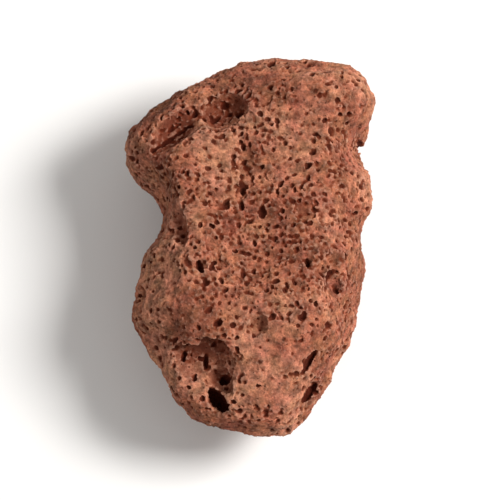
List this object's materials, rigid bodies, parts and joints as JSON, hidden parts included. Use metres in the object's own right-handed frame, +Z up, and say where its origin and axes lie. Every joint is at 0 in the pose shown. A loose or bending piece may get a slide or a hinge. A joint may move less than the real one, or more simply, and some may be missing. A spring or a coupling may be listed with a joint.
{
  "type": "lava rock",
  "caption": "Single lump of red-brown scoria with rounded broken faces, a notched side, a scooped end and gas holes all over, lying on a flat face.",
  "frame": {"origin": "on the surface that the rock rests on, under the middle of its bounding box", "axes": "+Z up from the resting face, +Y along the lump's length towards its broad end, +X along its width"},
  "size_m": [0.0532, 0.0818, 0.0375],
  "materials": {
    "scoria": "matte"
  },
  "bodies": {
    "root": {"lava_rock": "scoria"}
  },
  "joints": []
}
